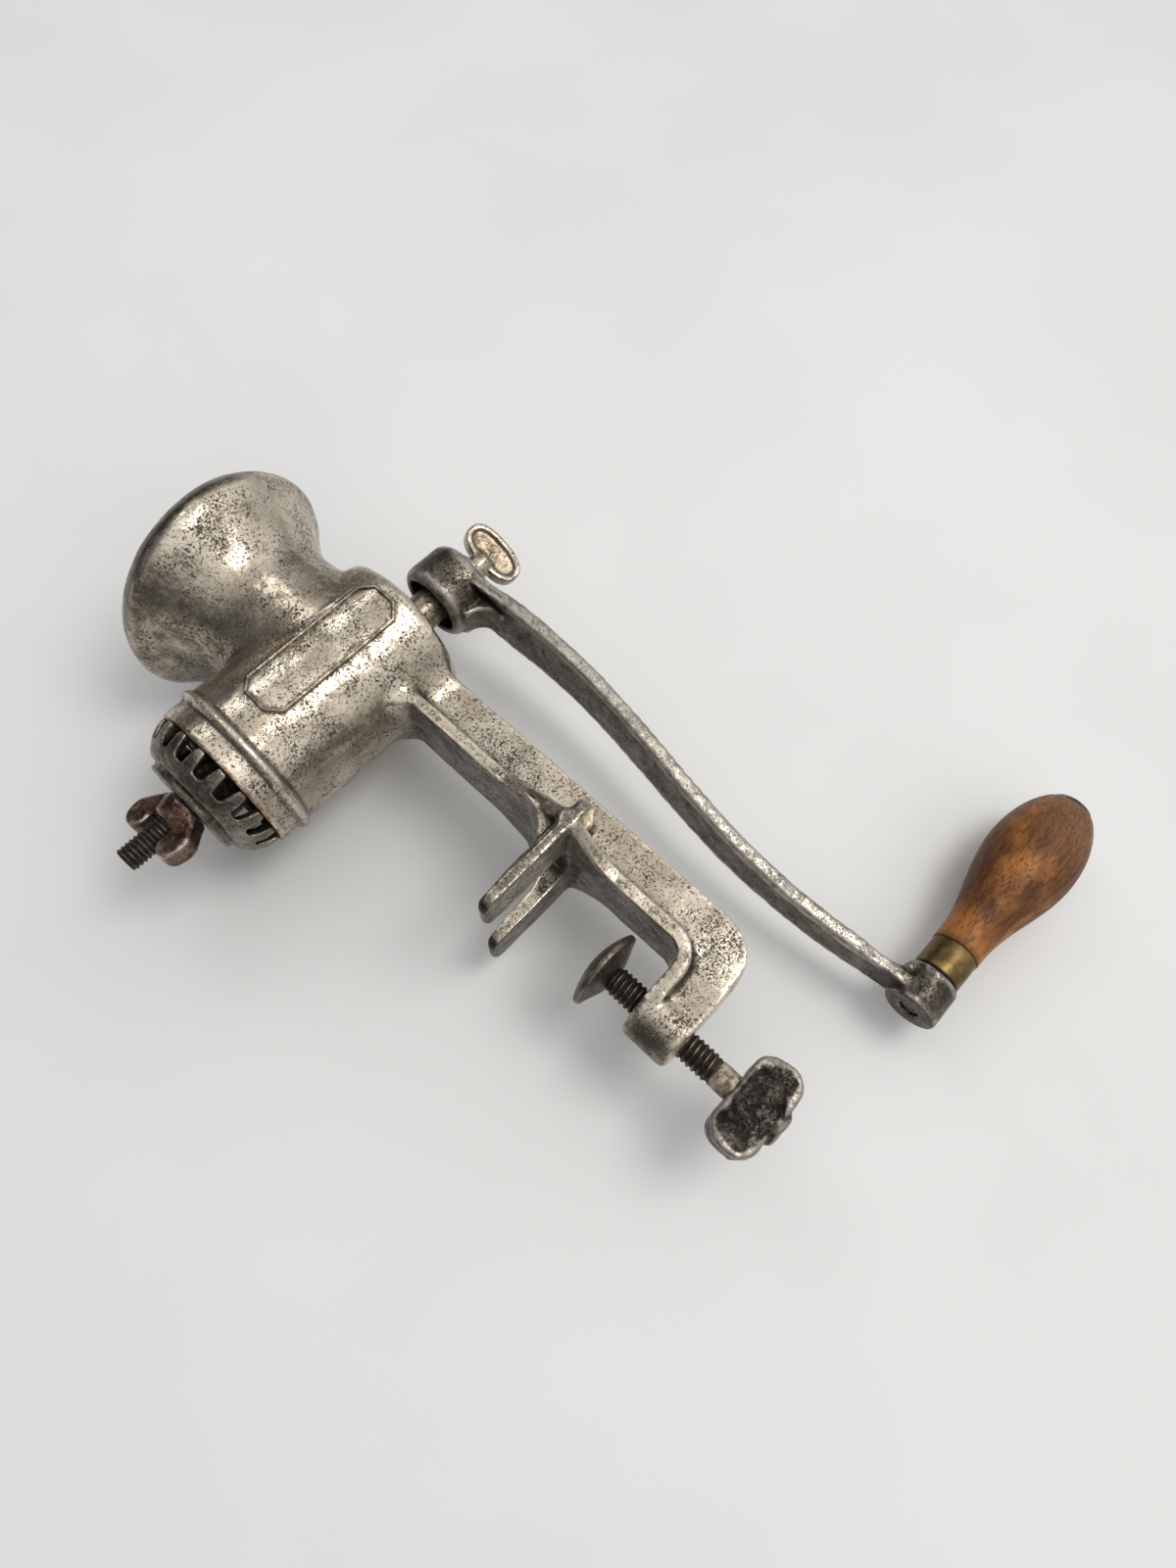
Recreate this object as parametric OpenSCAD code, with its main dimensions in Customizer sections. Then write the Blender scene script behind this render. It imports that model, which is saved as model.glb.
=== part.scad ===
// Hand cranked food grinder that clamps to the edge of a table.
// The origin is where the clamp screw's axis meets the tabletop. +X runs to the crank and +Z is up.
// Lengths are millimetres, angles are degrees.

/* [Barrel] */
// Height of the barrel axis above the tabletop
barrel_height = 102.6; // [96:0.1:115]
// Outside radius of the barrel
barrel_r = 28; // [27.5:0.1:30]
// Wall of the barrel
barrel_wall = 3.6; // [3:0.1:5]
// Length of the barrel from the collar edge to the rear face
barrel_len = 82.5; // [80:0.5:90]
// How far the collar edge stands ahead of the clamp screw axis
collar_reach = 40.2; // [36:0.1:44]
// Thickness of the rear wall that carries the bearing
rear_wall = 14; // [10:0.5:18]
// Rounding of the barrel's rear edge
rear_round = 4; // [2:0.5:6]
// Distance of the bead behind the collar edge
bead_pos = 9.5; // [7:0.5:12]
// Width of the bead
bead_w = 3.4; // [2:0.2:5]
// Height of the bead above the barrel
bead_h = 1.8; // [1:0.1:2.5]

/* [Hopper] */
// Height of the rim above the barrel axis, along the hopper's own axis
hopper_h = 67.7; // [62:0.1:75]
// Lean of the hopper towards the outlet
hopper_lean = 5.2; // [0:0.1:8]
// Distance ahead of the barrel's rear face where the hopper's axis meets the barrel axis
hopper_setback = 26.4; // [24:0.1:30]
// Outside radius of the rim
rim_r = 39.2; // [37:0.1:42]
// Outside radius at the widest place
bowl_r = 42.6; // [42:0.1:46]
// Depth of the widest place below the rim
bowl_drop = 8.2; // [5:0.1:12]
// Outside radius of the throat
throat_r = 26.8; // [25:0.1:27.4]
// Depth below the rim at which the throat is reached
throat_drop = 35; // [30:0.5:40]
// Wall of the hopper
hopper_wall = 3.2; // [2.5:0.1:4]

/* [Tablet] */
// Length of the plain tablet on the barrel's side
tablet_w = 56; // [40:1:60]
// Height of the tablet
tablet_h = 18.5; // [14:0.5:22]
// Clipped corner of the tablet
tablet_corner = 4.5; // [2:0.5:6]
// Width of the tablet's raised border
tablet_border = 1.4; // [1:0.1:2.5]
// Height of the border above the barrel
tablet_raise = 0.9; // [0.5:0.1:1.5]
// Distance of the tablet's middle behind the barrel's middle
tablet_shift = 7.7; // [4:0.1:10]
// Distance of the tablet's middle below the barrel axis
tablet_drop = 1.4; // [0:0.1:3]

/* [Leg and foot] */
// Distance of the leg's front face behind the clamp screw axis
leg_front = 18.3; // [16:0.1:21]
// Depth of the leg from front to rear
leg_depth = 19.5; // [16:0.5:22]
// Thickness of the leg's front flange
flange_t = 4.8; // [4:0.1:6]
// Width of the front flange
flange_w = 28; // [24:0.5:32]
// Thickness of the leg's web
web_t = 12; // [9:0.5:15]
// Thickness of the foot
foot_t = 5; // [4:0.1:7]
// Width across both prongs
foot_w = 58; // [50:0.5:66]
// Gap between the prongs
prong_gap = 24; // [18:0.5:26]
// How far the prongs reach ahead of the clamp screw axis
prong_reach = 17.8; // [15:0.1:25]
// How far the foot runs behind the leg's front face
foot_tail = 11.5; // [8:0.5:14]
// Thickness of the prongs at their tips
prong_tip = 3.6; // [3.5:0.1:4.5]
// Rounding of the foot's upper edges
prong_round = 2.4; // [1.5:0.1:2.5]
// Rounding of the tips seen from above
prong_end = 5; // [3:0.5:5.5]
// Rounding of the corners at the bottom of the gap
gap_round = 6; // [3:0.5:8]
// Fillet between the leg and the top of the foot
foot_fillet = 15; // [8:0.5:17]
// Height over which the front flange widens above the foot
flare_up = 26; // [16:1:32]
// Height over which it widens below the foot
flare_down = 13; // [8:1:18]
// Radius of the bend where it starts to widen
flare_round = 18; // [6:1:24]
// Fillet between the leg's front and the barrel
leg_fillet = 4.5; // [2:0.5:7]
// Fillet between the sides of the leg's web and the barrel
neck_fillet = 16; // [8:0.5:24]

/* [Clamp arm] */
// Depth of the jaw from the tabletop to the clamp arm
jaw_depth = 48; // [44:0.5:60]
// Height of the clamp arm
arm_h = 17.9; // [14:0.1:22]
// Radius of the boss round the clamp screw
boss_r = 10.2; // [9:0.1:12]
// Rounding of the boss edges
boss_round = 2.5; // [1:0.5:4]
// Radius of the frame's outer corner
frame_corner = 15; // [8:0.5:17]
// Fillet in the inner corner of the jaw
jaw_fillet = 6; // [3:0.5:8]

/* [Clamp screw] */
// Radius of the clamp screw's thread
clamp_r = 4.76; // [4.5:0.01:5.2]
// Pitch of the clamp screw
clamp_pitch = 1.95; // [1.5:0.05:2.2]
// Depth of its thread
clamp_depth = 0.7; // [0.4:0.05:0.9]
// Length of its thread
clamp_thread = 41; // [38:0.5:46]
// Radius of the plain neck below the thread
clamp_neck_r = 4.4; // [4.1:0.05:4.6]
// Length of the plain neck
clamp_neck = 7; // [4:0.5:12]
// Depth of the pad's top below the tabletop
pad_drop = 28.4; // [24:0.1:32]
// Radius of the pad
pad_r = 13.6; // [12:0.1:16]
// Height of the pad's domed top
pad_dome = 3.5; // [2:0.1:4]
// Thickness of the pad's rim
pad_rim = 1.6; // [1:0.1:2.5]
// Height of the cone under the pad
pad_cone = 2.9; // [2:0.1:4]
// Radius of the pad's collar under the cone
pad_collar_r = 6.2; // [5.5:0.1:8]
// Radius of the pin that the pad swivels on
swivel_r = 3; // [2.5:0.1:3.4]
// Radius of the riveted head above the pad
swivel_head_r = 4.4; // [4:0.1:5]
// Thickness of the riveted head
swivel_head = 1.8; // [1.2:0.1:2.2]

/* [Clamp thumb piece] */
// Width of the thumb piece
thumb_w = 32; // [28:0.5:40]
// Height of the thumb piece
thumb_h = 16.5; // [14.5:0.5:20]
// Thickness of the thumb piece
thumb_t = 12; // [10:0.5:15]
// Rounding of its corners
thumb_round = 6.5; // [4:0.5:7]
// Radius of the screw's tail inside it
thumb_tail_r = 3.5; // [3:0.1:4]
// Length of the screw's tail inside it
thumb_tail = 11; // [8:0.5:13]
// Height of the hub under it
thumb_hub = 2; // [1:0.1:3]
// Radius of that hub
thumb_hub_r = 5.6; // [4.5:0.1:5.8]

/* [Feed screw] */
// Core radius at the rear
core_rear_r = 9; // [8:0.1:12]
// Core radius at the front
core_front_r = 12.5; // [11:0.1:15]
// Distance of the core's front face behind the collar edge
core_inset = 3; // [2:0.5:6]
// Turns of the flight
flight_turns = 2.25; // [1.5:0.25:3]
// Thickness of the flight at its root
flight_root_t = 6; // [4:0.1:8]
// Thickness of the flight at its tip
flight_tip_t = 3.6; // [2.5:0.1:4]
// Gap between the flight and the barrel
flight_gap = 0.5; // [0.3:0.1:1]
// Radius of the rear journal
journal_r = 6.75; // [6:0.05:7.5]
// Width across the flats of the square crank end
square_w = 9; // [8:0.1:9.4]
// Thickness of the washer behind the screw
washer_t = 1.5; // [1:0.1:2.5]
// Outside radius of the washer
washer_r = 12; // [10:0.5:14]

/* [Cutter] */
// Radius of the cutter at its teeth
cutter_r = 27.2; // [26:0.1:28]
// Length of the ellipse that the cutter's crown follows
cutter_dome = 18.2; // [16:0.1:22]
// Length of the crown ahead of the collar edge
crown_h = 11.6; // [10:0.1:13]
// Radius of the lip on the cutter's front
lip_r = 17.8; // [16:0.1:20]
// Length of the cutter ahead of the collar edge
cutter_h = 14.3; // [13:0.1:16]
// Wall of the crown
cutter_wall = 4.2; // [3:0.1:5]
// Number of teeth
teeth = 18; // [14:1:20]
// Turn of the teeth round the axis
teeth_turn = 14.6; // [0:0.1:25]
// Width of the slots between the teeth at their open ends
slot_w = 6.4; // [5:0.1:7]
// Width of the slots at their closed ends
slot_floor = 3.6; // [2.5:0.1:4.5]
// Length of the slots
slot_len = 7.2; // [5:0.1:7.4]
// Radius of the cutter's hub
cutter_hub_r = 11; // [10.5:0.1:12]
// Radius of the driving boss
drive_r = 8; // [7:0.1:9]
// Width across the flats of the driving boss
drive_flats = 12.4; // [11:0.1:14]
// Length of the driving boss ahead of the collar edge
drive_h = 6.5; // [5:0.1:8]

/* [Stud and wing nut] */
// Radius of the stud's thread
stud_r = 4.45; // [4:0.05:5]
// Pitch of the stud
stud_pitch = 1.6; // [1.2:0.05:2]
// Depth of its thread
stud_depth = 0.55; // [0.3:0.05:0.8]
// Reach of the stud ahead of the collar edge
stud_reach = 40; // [36:0.5:44]
// Radius of the stud's root inside the feed screw
stud_root_r = 3.6; // [3:0.05:3.7]
// Length of the stud's root
stud_root = 18; // [12:0.5:24]
// Radius of the wing nut's base
nut_r = 8; // [7:0.1:9.5]
// Height of the wing nut's hub
nut_h = 8; // [6:0.1:10]
// Reach of the wings from the axis
wing_reach = 14.9; // [13.5:0.1:18]
// Height of the wings above the nut's base
wing_h = 17; // [15:0.5:20]
// Thickness of the wings
wing_t = 7.4; // [6:0.1:9]
// Rounding of the wings' outlines
wing_round = 4.2; // [3:0.1:4.5]
// How far the wings lean in at their tips
wing_lean = 1.6; // [0:0.1:3]
// Turn of the wings from upright
wing_turn = 15; // [-90:1:90]

/* [Crank] */
// Angle of the crank from straight down
crank_rest = 6; // [0:0.5:10]
// Distance from the crank's axis to the handle's axis
throw = 214.8; // [190:0.1:230]
// Gap between the barrel's rear face and the hub
hub_gap = 11.5; // [8:0.5:14]
// Radius of the hub
hub_r = 14.4; // [13:0.1:16]
// Length of the hub
hub_len = 18.6; // [17:0.1:23]
// Rounding of the hub's edges
hub_round = 3.5; // [1:0.5:4]
// Radius of the recess in the hub's front
recess_r = 11; // [9:0.1:12]
// Depth of that recess
recess_d = 6; // [4:0.5:8]
// Thickness of the arm
arm_t = 4.4; // [3.8:0.1:6]
// Width of the arm at the hub
arm_top_w = 26; // [22:0.5:28]
// Width of the arm at the eye
arm_end_w = 14.5; // [12:0.5:18]
// Distance of the arm's middle line behind the hub's front
arm_pos = 11.2; // [10:0.1:12.5]
// Sideways swing of the arm's curve
arm_wave = 4.4; // [0:0.1:6]
// Distance below the axis where the arm stands furthest out
arm_crest = 50; // [40:1:60]
// Distance from that place to where it stands furthest in
arm_half_wave = 100; // [85:1:105]
// Fillet between the hub and the arm
hub_fillet = 9; // [5:0.5:10]
// Radius of the eye
eye_r = 9.5; // [9:0.1:11]
// Length of the eye
eye_len = 14.4; // [12.5:0.1:16]
// Distance of the eye's front behind the hub's front
eye_pos = 9.3; // [7.5:0.1:10.5]
// Rounding of the eye's edges
eye_round = 1; // [0.6:0.1:2]
// Fillet between the arm's rear face and the eye
eye_fillet = 5.5; // [2:0.5:7]

/* [Crank thumb screw] */
// Length of the thumb screw's oval head across the axis
head_w = 24.5; // [20:0.5:30]
// Length of the head along the axis
head_l = 13; // [11:0.5:16]
// Thickness of the head
head_t = 6; // [5:0.1:8]
// Border round the head's sunk panel
head_border = 2.2; // [1.5:0.1:3]
// Depth of the sunk panel
head_sink = 1; // [0.4:0.1:1.5]
// Turn of the head from upright
head_turn = 24; // [-90:1:90]
// Radius of the collar under the head
head_collar_r = 7.5; // [6.8:0.1:9]
// Thickness of that collar
head_collar = 2.2; // [1.5:0.1:3]
// Length of the neck between collar and head
head_neck = 3.4; // [2:0.1:5]
// Radius of the neck
head_neck_r = 4.6; // [3.5:0.1:5.5]
// Radius of the screw's shank
shank_r = 3; // [2.5:0.1:3.4]
// Length of the shank inside the feed screw
shank_len = 12; // [8:0.5:16]

/* [Handle] */
// Radius of the spindle
spindle_r = 3.5; // [3:0.1:4]
// Radius of the spindle's riveted heads
rivet_r = 4.8; // [4.2:0.1:6]
// Height of the riveted heads
rivet_h = 1.2; // [0.8:0.1:2]
// Radius of the ferrule
ferrule_r = 8.3; // [8:0.1:8.5]
// Length of the ferrule
ferrule_len = 12; // [9:0.1:16]
// Wall of the ferrule
ferrule_wall = 0.9; // [0.6:0.1:1.2]
// Radius of the grip's neck
grip_neck_r = 8.6; // [8.5:0.1:10]
// Length of the straight neck
grip_neck = 3; // [2:0.5:8]
// Radius of the grip at its widest place
grip_r = 16.2; // [14:0.1:19]
// Distance from the ferrule to the widest place
grip_belly = 46; // [38:0.5:52]
// Length of the wood behind the ferrule
grip_len = 69.4; // [64:0.1:73]
// Length of the ellipse that rounds off the grip's end
grip_end = 28.8; // [26.5:0.1:34]
// Radius of the domed washer on the grip's end
end_washer_r = 8.2; // [6.5:0.1:9]
// Height of that washer
end_washer_h = 2.2; // [1.5:0.1:3]

/* [Fits] */
// Radial play of a shaft in its bore
running_fit = 0.06; // [0.02:0.01:0.1]
// Gap between the faces of pieces that move on each other
face_gap = 0.3; // [0.2:0.05:0.5]
// Play of pieces that sit fast in each other
snug_fit = 0.03; // [0.01:0.01:0.05]

/* [Hidden] */

// Cuts run this far past the faces they open, and joined shapes bite this far into each other
past = 1;
// Steps in a rounded corner, in a curved outline and round a thread
corner_steps = 6;
curve_steps = 24;
thread_sides = 12;
thread_rows = 5;
flight_steps = 24;
// Shape of the hopper's flank between the widest place and the throat
flank_power = 0.72;
// Squareness of the thumb screw's oval head and share of the end washer's height that is rounded
oval_power = 0.8;
washer_dome = 0.8;
$fn = 96;

iron = [0.66, 0.64, 0.60];
dark_iron = [0.34, 0.32, 0.30];
rusty_iron = [0.36, 0.26, 0.21];
thread_steel = [0.18, 0.15, 0.13];
brass = [0.62, 0.50, 0.28];
wood = [0.58, 0.33, 0.16];

bore_r = barrel_r - barrel_wall;
collar_x = -collar_reach;
rear_x = collar_x + barrel_len;
bearing_x = rear_x - rear_wall;
hopper_x = rear_x - hopper_setback;
barrel_bottom = barrel_height - barrel_r;
leg_rear = leg_front + leg_depth;
flange_back = leg_front + flange_t;
arm_top = -jaw_depth;
arm_bottom = arm_top - arm_h;
hub_x = rear_x + hub_gap;
hub_rear = hub_x + hub_len;
recess_floor = hub_x + recess_d;
eye_x = hub_x + eye_pos;
eye_rear = eye_x + eye_len;
ferrule_x = eye_rear + face_gap;
wood_x = ferrule_x + ferrule_len;
wood_rear = wood_x + grip_len;
core_front = collar_x + core_inset;
core_rear = bearing_x - washer_t - face_gap;
flight_r = bore_r - flight_gap;
core_len = core_rear - core_front;
pad_bottom = -pad_drop - pad_dome - pad_rim - pad_cone;
thread_top = pad_bottom - face_gap;
thread_bottom = thread_top - clamp_thread;
thumb_top = thread_bottom - clamp_neck;
nut_base = cutter_h + face_gap;

// A closed outline from corners [x, y, radius], each rounded by an arc
function flat(c) = [c[0], c[1]];
function unit(v) = v / norm(v);
function half_turn(a) = a > 180 ? a - 360 : a < -180 ? a + 360 : a;
function corner_points(a, b, c) =
    b[2] <= 0 ? [flat(b)] :
    let(
        to_a = unit(flat(a) - flat(b)),
        to_c = unit(flat(c) - flat(b)),
        half = acos(to_a * to_c) / 2,
        middle = flat(b) + unit(to_a + to_c) * b[2] / sin(half),
        from = flat(b) + to_a * b[2] / tan(half) - middle,
        to = flat(b) + to_c * b[2] / tan(half) - middle,
        start = atan2(from[1], from[0]),
        sweep = half_turn(atan2(to[1], to[0]) - start)
    )
    [for (i = [0:corner_steps])
        let(angle = start + sweep * i / corner_steps)
        middle + b[2] * [cos(angle), sin(angle)]];
function rounded(c) =
    let(n = len(c))
    [for (i = [0:n - 1]) each corner_points(c[(i + n - 1) % n], c[i], c[(i + 1) % n])];

// Placing outlines: across the object, along X, turned about an axis along X
module across(half) translate([0, half, 0]) rotate([90, 0, 0]) linear_extrude(2 * half) children();
module along_x(x, length) translate([x, 0, 0]) rotate([90, 0, 90]) linear_extrude(length) children();
module behind(x) translate([x, 0, barrel_height]) rotate([0, 90, 0]) children();
module ahead(x) translate([x, 0, barrel_height]) rotate([0, -90, 0]) children();
module on_hopper() translate([hopper_x, 0, barrel_height]) rotate([0, -hopper_lean, 0]) children();
module on_arm() translate([0, 0, arm_bottom]) linear_extrude(arm_h + 2 * jaw_fillet) children();
module on_crank() translate([0, 0, barrel_height]) rotate([crank_rest, 0, 0]) children();
module on_handle(x) on_crank() translate([x, 0, -throw]) rotate([0, 90, 0]) children();

// Rod with a helical thread between z = 0 and z = length, fading out at both ends
function thread_wave(turns) = abs(2 * (turns - floor(turns)) - 1);
function thread_fade(z, length, pitch) = min(1, z / pitch, (length - z) / pitch);
module threaded_rod(r, depth, pitch, length) {
    rows = ceil(length / pitch * thread_rows);
    ring = [for (j = [0:thread_sides - 1]) 360 * j / thread_sides];
    points = [for (i = [0:rows], a = ring)
        let(z = length * i / rows, cut = thread_wave(z / pitch - a / 360),
            here = r - depth + depth * cut * thread_fade(z, length, pitch))
        [here * cos(a), here * sin(a), z]];
    sides = [for (i = [0:rows - 1], j = [0:thread_sides - 1])
        let(k = (j + 1) % thread_sides, low = i * thread_sides, high = low + thread_sides)
        each [[low + j, high + j, low + k], [low + k, high + j, high + k]]];
    base = [for (j = [0:thread_sides - 1]) j];
    top = [for (j = [thread_sides - 1:-1:0]) rows * thread_sides + j];
    polyhedron(points, concat(sides, [base, top]));
}

// Fillet in a corner at [x, z] that opens towards [sx, sz], across the object
module corner_fillet(x, z, sx, sz, r, half, bite_z) {
    arc = [for (i = [0:corner_steps])
        let(a = 90 * i / corner_steps)
        [x + sx * r * (1 - sin(a)), z + sz * r * (1 - cos(a))]];
    across(half)
        polygon(concat([[x - sx * past, z + sz * r], [x - sx * past, z - sz * bite_z],
                        [x + sx * r, z - sz * bite_z]], arc));
}

// Body casting: barrel, hopper, leg, foot and clamp arm
function barrel_outline() = concat(
    [[0, 0], [barrel_r, 0]],
    [for (i = [0:corner_steps])
        let(a = 180 * i / corner_steps)
        [barrel_r + bead_h * sin(a), bead_pos - bead_w / 2 * cos(a)]],
    [for (i = [0:corner_steps])
        let(a = 90 * i / corner_steps)
        [barrel_r - rear_round * (1 - cos(a)), barrel_len - rear_round * (1 - sin(a))]],
    [[0, barrel_len]]);

function bowl_at(drop) = drop < bowl_drop
    ? bowl_r - (bowl_r - rim_r) * pow(1 - drop / bowl_drop, 2)
    : let(s = (drop - bowl_drop) / (throat_drop - bowl_drop))
      throat_r + (bowl_r - throat_r) * (1 + cos(180 * pow(s, flank_power))) / 2;
function hopper_outline(inset, top) = concat(
    [[0, 0], [throat_r - inset, 0]],
    [for (i = [curve_steps:-1:0])
        let(drop = throat_drop * i / curve_steps)
        [bowl_at(drop) - inset, hopper_h - drop]],
    top > 0 ? [[rim_r - inset, hopper_h + top]] : [],
    [[0, hopper_h + top]]);

function tablet_outline(inset) =
    let(w = tablet_w / 2 - inset, h = tablet_h / 2 - inset, c = tablet_corner - inset * (2 - sqrt(2)))
    [[w - c, h], [w, h - c], [w, c - h], [w - c, -h], [c - w, -h], [-w, c - h], [-w, h - c], [c - w, h]];
module tablet() intersection() {
    behind(collar_x) cylinder(h = barrel_len, r = barrel_r + tablet_raise);
    translate([collar_x + barrel_len / 2 + tablet_shift, -bore_r, barrel_height - tablet_drop])
        rotate([90, 0, 0])
            linear_extrude(barrel_wall + tablet_raise + past) difference() {
                polygon(tablet_outline(0));
                polygon(tablet_outline(tablet_border));
            }
}

// Neck where a plate of that half width runs into the barrel from below, filleted on both sides
function neck_outline(half, r) =
    let(low = barrel_height - sqrt(pow(barrel_r + r, 2) - pow(half + r, 2)),
        end = atan2(barrel_height - low, -half - r),
        side = [for (i = [0:corner_steps])
            let(a = 180 + (end - 180) * i / corner_steps)
            [half + r + r * cos(a), low + r * sin(a)]])
    concat(side, [[0, barrel_height]], [for (i = [corner_steps:-1:0]) [-side[i][0], side[i][1]]]);

module leg() {
    half = flange_w / 2;
    flare = foot_w / 2;
    bend = arm_top + jaw_fillet;
    frame = [[leg_front, barrel_height, 0], [leg_rear, barrel_height, 0],
             [leg_rear, arm_bottom, frame_corner], [0, arm_bottom, 0],
             [0, arm_top, 0], [leg_front, arm_top, jaw_fillet]];
    edge = [[half, barrel_height, 0], [half, foot_t + flare_up, flare_round], [flare, foot_t, 0],
            [flare, 0, 0], [half, -flare_down, flare_round], [half, bend, 0]];
    mirrored = [for (i = [len(edge) - 1:-1:0]) [-edge[i][0], edge[i][1], edge[i][2]]];
    band = [[leg_front, bend + past, 0], [leg_front, arm_top, jaw_fillet], [0, arm_top, 0],
            [0, arm_top - flange_t, 0], [flange_back, arm_top - flange_t, jaw_fillet + flange_t],
            [flange_back, bend + past, 0]];
    sag = barrel_r - sqrt(barrel_r * barrel_r - half * half);
    across(web_t / 2) polygon(rounded(frame));
    along_x(leg_front, flange_t) polygon(rounded(concat(edge, mirrored)));
    corner_fillet(leg_front, barrel_bottom, -1, -1, leg_fillet, half, sag);
    along_x(leg_front, leg_depth) polygon(neck_outline(web_t / 2, neck_fillet));
    along_x(leg_front, flange_t) polygon(neck_outline(half, neck_fillet / 2));
    intersection() {
        across(half) polygon(rounded(band));
        on_arm() polygon([[0, -boss_r], [leg_front, -half], [flange_back, -half],
                          [flange_back, half], [leg_front, half], [0, boss_r]]);
    }
    intersection() {
        across(boss_r) polygon(rounded(frame));
        on_arm() polygon([[0, -boss_r], [leg_front, -web_t / 2], [leg_front, web_t / 2], [0, boss_r]]);
    }
    translate([0, 0, arm_bottom]) rotate_extrude()
        polygon(rounded([[0, 0, 0], [boss_r, 0, boss_round], [boss_r, arm_h, boss_round], [0, arm_h, 0]]));
}

module foot() intersection() {
    half = foot_w / 2;
    gap = prong_gap / 2;
    tip = -prong_reach;
    rear = leg_front + foot_tail;
    bottom = leg_front - past;
    profile = [[tip, 0, prong_round / 3], [rear, 0, 0], [rear, foot_t, prong_round],
               [leg_front - foot_fillet, foot_t, 0], [tip, prong_tip, prong_round]];
    section = [[-half, 0, 0], [half, 0, 0], [half, foot_t, prong_round], [-half, foot_t, prong_round]];
    plan = [[rear, -half, prong_end], [rear, half, prong_end], [tip, half, prong_end], [tip, gap, prong_end],
            [bottom, gap, gap_round], [bottom, -gap, gap_round], [tip, -gap, prong_end],
            [tip, -half, prong_end]];
    union() {
        intersection() {
            across(half) polygon(rounded(profile));
            along_x(tip, rear - tip) polygon(rounded(section));
        }
        corner_fillet(leg_front, foot_t, -1, 1, foot_fillet, half - foot_t, past);
    }
    translate([0, 0, -past]) linear_extrude(foot_t + foot_fillet + 2 * past) polygon(rounded(plan));
}

module body_casting() color(iron) difference() {
    union() {
        behind(collar_x) rotate_extrude() polygon(barrel_outline());
        on_hopper() rotate_extrude() polygon(hopper_outline(0, 0));
        tablet();
        leg();
        foot();
    }
    behind(collar_x - past) cylinder(h = barrel_len - rear_wall + past, r = bore_r);
    behind(bearing_x - past) cylinder(h = rear_wall + 2 * past, r = journal_r + running_fit);
    difference() {
        on_hopper() rotate_extrude() polygon(hopper_outline(hopper_wall, past));
        behind(bearing_x) cylinder(h = 2 * rear_wall, r = barrel_r);
    }
    translate([0, 0, arm_bottom - past]) cylinder(h = arm_h + 2 * past, r = clamp_r + running_fit);
}

// Feed screw, with a double-flat boss that drives the cutter and a square end for the crank
module flight() {
    steps = ceil(flight_steps * flight_turns);
    run = core_len - flight_root_t;
    root = min(core_rear_r, core_front_r) - past;
    points = [for (i = [0:steps])
        let(x = flight_root_t / 2 + run * i / steps, a = 360 * flight_turns * i / steps,
            u = [cos(a), -sin(a)])
        each [for (p = [[root, -flight_root_t], [root, flight_root_t],
                        [flight_r, flight_tip_t], [flight_r, -flight_tip_t]])
            [p[0] * u[0], p[0] * u[1], x + p[1] / 2]]];
    sides = [for (i = [0:steps - 1], j = [0:3])
        let(k = (j + 1) % 4, low = 4 * i, high = low + 4)
        each [[low + j, low + k, high + j], [low + k, high + k, high + j]]];
    polyhedron(points, concat(sides, [[3, 2, 1, 0], [for (j = [0:3]) 4 * steps + j]]));
}

module feed_screw() color(iron) difference() {
    union() {
        behind(core_front) cylinder(h = core_len, r1 = core_front_r, r2 = core_rear_r);
        behind(core_front) flight();
        behind(core_rear - past) cylinder(h = recess_floor - core_rear + past, r = journal_r);
        behind(recess_floor - past) translate([0, 0, (hub_len - recess_d) / 2])
            rotate(crank_rest) cube([square_w, square_w, hub_len - recess_d], center = true);
        ahead(core_front + past) intersection() {
            cylinder(h = core_inset + drive_h + past, r = drive_r);
            translate([-drive_r, -drive_flats / 2, 0]) cube([2 * drive_r, drive_flats, core_len]);
        }
    }
    ahead(core_front + stud_root - drive_h - core_inset)
        cylinder(h = stud_root + past, r = stud_root_r + snug_fit);
    behind(hub_rear - shank_len - past) cylinder(h = shank_len + 2 * past, r = shank_r + running_fit);
}

module thrust_washer() color(brass) behind(core_rear) difference() {
    cylinder(h = washer_t, r = washer_r);
    translate([0, 0, -past]) cylinder(h = washer_t + 2 * past, r = journal_r + running_fit);
}

// Threaded stud in the front of the feed screw
module cutter_stud() color(thread_steel) {
    ahead(collar_x - drive_h) threaded_rod(stud_r, stud_depth, stud_pitch, stud_reach - drive_h);
    ahead(collar_x - drive_h + stud_root) cylinder(h = stud_root + past, r = stud_root_r);
}

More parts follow.
